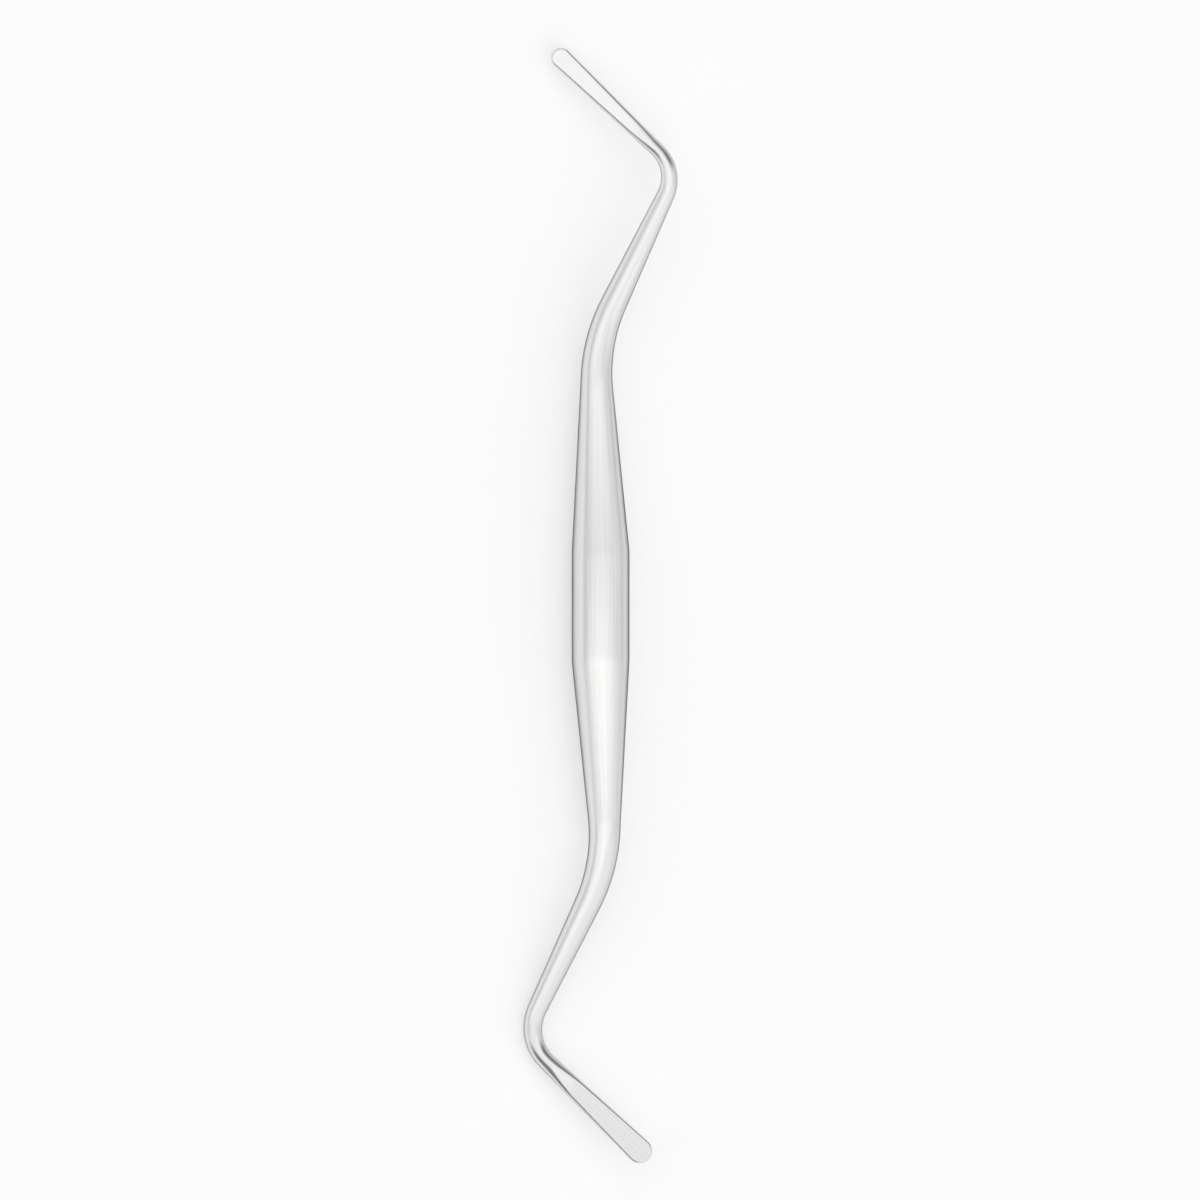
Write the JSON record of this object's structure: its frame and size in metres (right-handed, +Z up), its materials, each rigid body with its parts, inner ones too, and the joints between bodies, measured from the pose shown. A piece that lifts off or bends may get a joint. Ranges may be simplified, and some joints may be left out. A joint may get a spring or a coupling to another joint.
{
  "type": "dental filling instrument",
  "caption": "Double-ended dental filling instrument: a round handle tapers to a bent shank at each end, and each shank ends in a flat blade with a round tip.",
  "frame": {"origin": "on the surface that the instrument lies on, under the middle of the handle", "axes": "+Y along the handle towards the narrow blade, +Z up, +X to the side that the narrow end's second bend stands out to"},
  "size_m": [0.0205, 0.1543, 0.008],
  "materials": {
    "stainless_steel": "satin, finely ground along the bar"
  },
  "bodies": {
    "root": {"filling_instrument": "stainless_steel"}
  },
  "joints": []
}
